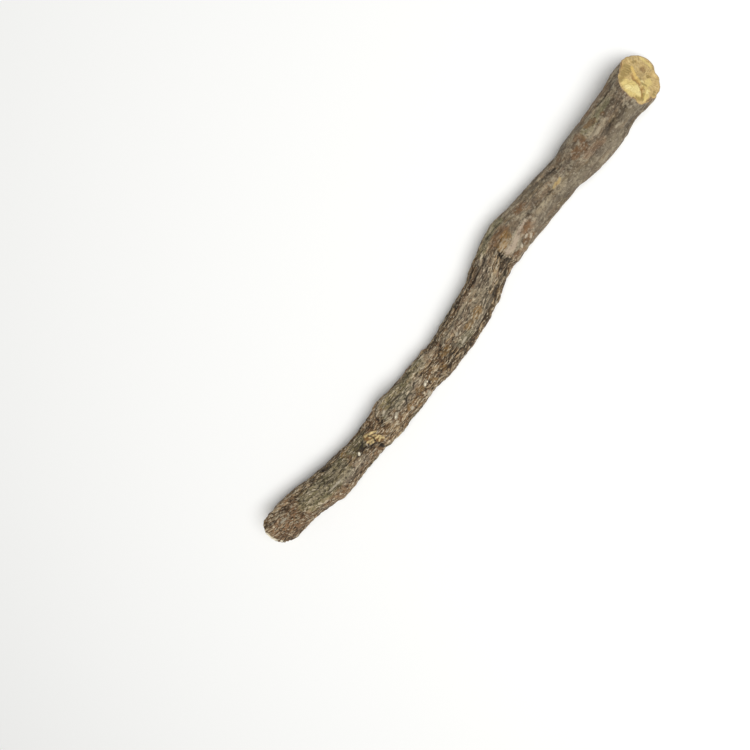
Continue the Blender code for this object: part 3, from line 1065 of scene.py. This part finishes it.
def make_bark_material():
    material = bpy.data.materials.new("dry_cork_bark")
    material.use_nodes = True
    tree = material.node_tree
    shader = tree.nodes["Principled BSDF"]
    grown = add_node(tree, "ShaderNodeAttribute", {}, attribute_name="grown").outputs["Vector"]
    rough = add_node(tree, "ShaderNodeAttribute", {}, attribute_name="roughness").outputs["Fac"]
    raised = add_node(tree, "ShaderNodeAttribute", {}, attribute_name="raised").outputs["Fac"]
    coarse = add_node(
        tree, "ShaderNodeMapRange", {"Value": rough, "From Min": COARSE_FROM, "From Max": 1.0}
    ).outputs["Result"]
    # Mottled between the coarsest and the smoothest bark: 1 where the roughness is a half.
    smooth = add_node(tree, "ShaderNodeMath", {0: 1.0, 1: rough}, operation="SUBTRACT")
    both = add_node(
        tree, "ShaderNodeMath", {0: smooth.outputs["Value"], 1: rough}, operation="MULTIPLY"
    )
    mottled = add_node(
        tree, "ShaderNodeMath", {0: both.outputs["Value"], 1: 4.0}, operation="MULTIPLY"
    ).outputs["Value"]
    places = {"grown": grown, "raised": raised, "coarse": coarse, "mottled": mottled}
    stain_and_shade_edge = add_grain_pattern(tree, grown, STAIN_AND_SHADE_EDGE, 0.0, EDGE_NOISE)
    chip_edge = add_grain_pattern(tree, grown, CHIP_EDGE, 0.0, EDGE_NOISE)
    colour = add_node(
        tree, "ShaderNodeMix",
        {MIX_FACTOR: coarse, MIX_A: linear(BARK_SMOOTH), MIX_B: linear(BARK_COARSE)},
        data_type="RGBA",
    ).outputs[MIX_COLOUR]
    height = 0.0
    colour, height = add_bark_layers(tree, colour, height, BARK_TONES, TONE_SEED, places)
    colour = add_marks(tree, colour, STAIN_AND_SHADE_LOOKS, stain_and_shade_edge)
    colour, height = add_bark_layers(tree, colour, height, BROAD_FLECKS, BROAD_SEED, places)
    colour = add_marks(tree, colour, RUBBED_LOOKS, stain_and_shade_edge)
    colour, height = add_bark_layers(tree, colour, height, FINE_FLECKS, FINE_SEED, places)
    # painted shade in the furrows, cracks and splits
    furrow = add_node(tree, "ShaderNodeAttribute", {}, attribute_name="furrow").outputs["Fac"]
    levels = {"From Min": FURROW_FROM, "From Max": FURROW_TO, "To Max": FURROW_SHADE_STRENGTH}
    in_furrow_shade = add_node(
        tree, "ShaderNodeMapRange", {"Value": furrow, **levels}
    ).outputs["Result"]
    colour = add_node(
        tree, "ShaderNodeMix", {MIX_FACTOR: in_furrow_shade, MIX_A: colour, MIX_B: linear(FURROW_SHADE_COLOUR)},
        data_type="RGBA",
    ).outputs[MIX_COLOUR]
    colour = add_marks(tree, colour, CHIP_LOOKS, chip_edge)
    relief = add_node(
        tree, "ShaderNodeBump", {"Height": height, "Strength": 1.0, "Distance": FLECK_HEIGHT * MM}
    )
    tree.links.new(colour, shader.inputs["Base Color"])
    tree.links.new(relief.outputs["Normal"], shader.inputs["Normal"])
    shader.inputs["Roughness"].default_value = BARK_ROUGHNESS
    shader.inputs["IOR"].default_value = BARK_IOR
    return material


# Licorice wood, cut and dried: pale yellow with fine rays, browner in the pith, with painted
# shadow along the torn ridge and in its cracks, and framed by the thin brown line of the bark.
WOOD_BASE = "#c4a76d"
WOOD_LIGHT = "#d8bf86"
WOOD_FRESH = "#ecd996"
WOOD_DEEP = "#a3864f"
WOOD_ROUGHNESS = 0.7
WOOD_IOR = 1.5
RIM_COLOUR = "#846750"
RIM_RAGGED = 0.12  # how far the rim's edge wanders, as a share of the radius
RIM_FROM = 1.02  # with that added, the rim comes in between these shares
RIM_TO = 1.06
RIM_STRENGTH = 0.7
FACE_LOOKS = {  # colour, strength, raggedness
    "fresh": ("#ddc67c", 0.85, 2.4),
    # pale yellow wood with painted highlights
    "bright": ("#f3e3a0", 0.65, 2.0),
    "olive": ("#8a7237", 0.72, 3.2),
    # partly painted highlight along the ridge's lit edge
    "ridge": ("#e6c26c", 0.75, 1.6),
    # painted shadow under the torn ridge and in cracks
    "tear_shadow": ("#9a7136", 0.7, 2.0),
    "pith": ("#8c683a", 0.75, 0.8),
    "rim": ("#73583f", 0.9, 2.4),
}
# Noise from, noise to, colour, strength. The deep colour lies where the noise is low.
SPECKLE_LOOKS = [
    (0.46, 0.64, WOOD_LIGHT, 0.7),
    (0.48, 0.34, WOOD_DEEP, 0.6),
]
RAY_LOOKS = [
    (0.52, 0.68, WOOD_FRESH, 0.3),
    (0.44, 0.3, WOOD_DEEP, 0.15),
]
SPECKLE_CELLS = 1.3  # cells of noise to a millimetre
PAINTED_RAYS = (14.0, 4.0)  # the radius of the ring that their noise is read on; cells outwards
WOOD_HEIGHT = 0.3  # millimetres, for a height of 1 in the rays and the speckle


def add_spots(tree, colour, pattern, looks):
    """Paints colours where a pattern of noise lies past low, and most where it is past high."""
    for low, high, hex_colour, strength in looks:
        spots = add_node(
            tree, "ShaderNodeMapRange",
            {"Value": pattern, "From Min": low, "From Max": high, "To Max": strength},
            interpolation_type="SMOOTHSTEP",
        ).outputs["Result"]
        colour = add_node(
            tree, "ShaderNodeMix", {MIX_FACTOR: spots, MIX_A: colour, MIX_B: linear(hex_colour)},
            data_type="RGBA",
        ).outputs[MIX_COLOUR]
    return colour


def make_wood_material():
    material = bpy.data.materials.new("cut_licorice_wood")
    material.use_nodes = True
    tree = material.node_tree
    shader = tree.nodes["Principled BSDF"]
    face = add_node(tree, "ShaderNodeAttribute", {}, attribute_name="face_place").outputs["Vector"]
    out = add_node(tree, "ShaderNodeSeparateXYZ", {"Vector": face}).outputs["Z"]
    flat = add_node(
        tree, "ShaderNodeVectorMath", {0: face, 1: (1, 1, 0)}, operation="MULTIPLY"
    ).outputs["Vector"]
    heading = add_node(
        tree, "ShaderNodeVectorMath", {0: flat}, operation="NORMALIZE"
    ).outputs["Vector"]
    round_face = add_node(
        tree, "ShaderNodeVectorMath", {0: heading, "Scale": PAINTED_RAYS[0]}, operation="SCALE"
    ).outputs["Vector"]
    out_only = add_node(
        tree, "ShaderNodeVectorMath", {0: face, 1: (0, 0, PAINTED_RAYS[1])}, operation="MULTIPLY"
    ).outputs["Vector"]
    ray_place = add_node(
        tree, "ShaderNodeVectorMath", {0: round_face, 1: out_only}, operation="ADD"
    ).outputs["Vector"]
    rays = add_node(
        tree, "ShaderNodeTexNoise",
        {"Vector": ray_place, "Scale": 1.0, "Detail": 2.0, "Roughness": 0.6},
    ).outputs["Fac"]
    speckle = add_node(
        tree, "ShaderNodeTexNoise",
        {"Vector": flat, "Scale": SPECKLE_CELLS, "Detail": 3.0, "Roughness": 0.6},
    ).outputs["Fac"]
    colour = add_spots(tree, linear(WOOD_BASE), speckle, SPECKLE_LOOKS)
    colour = add_marks(tree, colour, FACE_LOOKS, speckle)
    colour = add_spots(tree, colour, rays, RAY_LOOKS)
    ragged_out = add_node(
        tree, "ShaderNodeMath", {0: speckle, 1: RIM_RAGGED, 2: out}, operation="MULTIPLY_ADD"
    ).outputs["Value"]
    rim = add_node(
        tree, "ShaderNodeMapRange",
        {"Value": ragged_out, "From Min": RIM_FROM, "From Max": RIM_TO, "To Max": RIM_STRENGTH},
    ).outputs["Result"]
    colour = add_node(
        tree, "ShaderNodeMix", {MIX_FACTOR: rim, MIX_A: colour, MIX_B: linear(RIM_COLOUR)},
        data_type="RGBA",
    ).outputs[MIX_COLOUR]
    height = add_node(
        tree, "ShaderNodeMath", {0: rays, 1: speckle}, operation="ADD"
    ).outputs["Value"]
    relief = add_node(
        tree, "ShaderNodeBump", {"Height": height, "Strength": 1.0, "Distance": WOOD_HEIGHT * MM}
    )
    tree.links.new(colour, shader.inputs["Base Color"])
    tree.links.new(relief.outputs["Normal"], shader.inputs["Normal"])
    shader.inputs["Roughness"].default_value = WOOD_ROUGHNESS
    shader.inputs["IOR"].default_value = WOOD_IOR
    return material


# The skin, with its finish, takes the place of the solid. A fold sharper than this angle stays
# crisp, as where the bark meets a cut.
CRISP_ANGLE = 60.0

root_data = bpy.data.meshes.new("licorice_root_skin")
root_bmesh = make_root_mesh()
root_bmesh.to_mesh(root_data)
root_bmesh.free()
root_data.materials.append(make_bark_material())
root_data.materials.append(make_wood_material())
root_data.shade_smooth()
root_data.set_sharp_from_angle(angle=math.radians(CRISP_ANGLE))
root = bpy.data.objects.new("licorice_root_skin", root_data)
bpy.context.scene.collection.objects.link(root)
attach(root, "root")
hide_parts("licorice_root")


# The floor, the light and the camera. The floor is a plain, matt white sheet, lit by one broad
# soft lamp and a white room, and the camera looks down on the root from over its upper end.

FLOOR_SIZE = 4.0  # metres
FLOOR_COLOUR = "#f4f4f2"
FLOOR_ROUGHNESS = 0.9
LAMP_SIZE = 0.7  # metres
LAMP_PLACE = (0.12, -0.16, 0.75)
LAMP_WATTS = 7.2
SKY_STRENGTH = 0.17

CAMERA_PLACE = (0.0415, 0.00845, 0.2463)  # metres
CAMERA_TILT = 16.0  # degrees from straight down
CAMERA_ROLL = -51.19
LENS = 38.0  # millimetres
NEAREST = 0.01  # metres: the camera leaves out what is nearer

floor_bmesh = bmesh.new()
bmesh.ops.create_grid(floor_bmesh, x_segments=1, y_segments=1, size=FLOOR_SIZE / 2)
floor_data = bpy.data.meshes.new("floor")
floor_bmesh.to_mesh(floor_data)
floor_bmesh.free()
floor_material = bpy.data.materials.new("matt_white_sheet")
floor_material.use_nodes = True
floor_shader = floor_material.node_tree.nodes["Principled BSDF"]
floor_shader.inputs["Base Color"].default_value = linear(FLOOR_COLOUR)
floor_shader.inputs["Roughness"].default_value = FLOOR_ROUGHNESS
floor_data.materials.append(floor_material)
floor = bpy.data.objects.new("floor", floor_data)
bpy.context.scene.collection.objects.link(floor)

lamp_data = bpy.data.lights.new("softbox", "AREA")
lamp_data.shape = "DISK"
lamp_data.size = LAMP_SIZE
lamp_data.energy = LAMP_WATTS
lamp = bpy.data.objects.new("softbox", lamp_data)
lamp.location = LAMP_PLACE
lamp.rotation_euler = (-Vector(LAMP_PLACE)).to_track_quat("-Z", "Y").to_euler()
bpy.context.scene.collection.objects.link(lamp)

world = bpy.data.worlds.new("white room")
world.use_nodes = True
world.node_tree.nodes["Background"].inputs["Color"].default_value = (1.0, 1.0, 1.0, 1.0)
world.node_tree.nodes["Background"].inputs["Strength"].default_value = SKY_STRENGTH
bpy.context.scene.world = world
bpy.context.scene.view_settings.view_transform = "Standard"

camera_data = bpy.data.cameras.new("camera")
camera_data.lens = LENS
camera_data.clip_start = NEAREST
camera = bpy.data.objects.new("camera", camera_data)
camera.matrix_world = (
    Matrix.Translation(CAMERA_PLACE)
    @ Matrix.Rotation(math.radians(CAMERA_TILT), 4, "Y")
    @ Matrix.Rotation(math.radians(CAMERA_ROLL), 4, "Z")
)
bpy.context.scene.collection.objects.link(camera)
bpy.context.scene.camera = camera
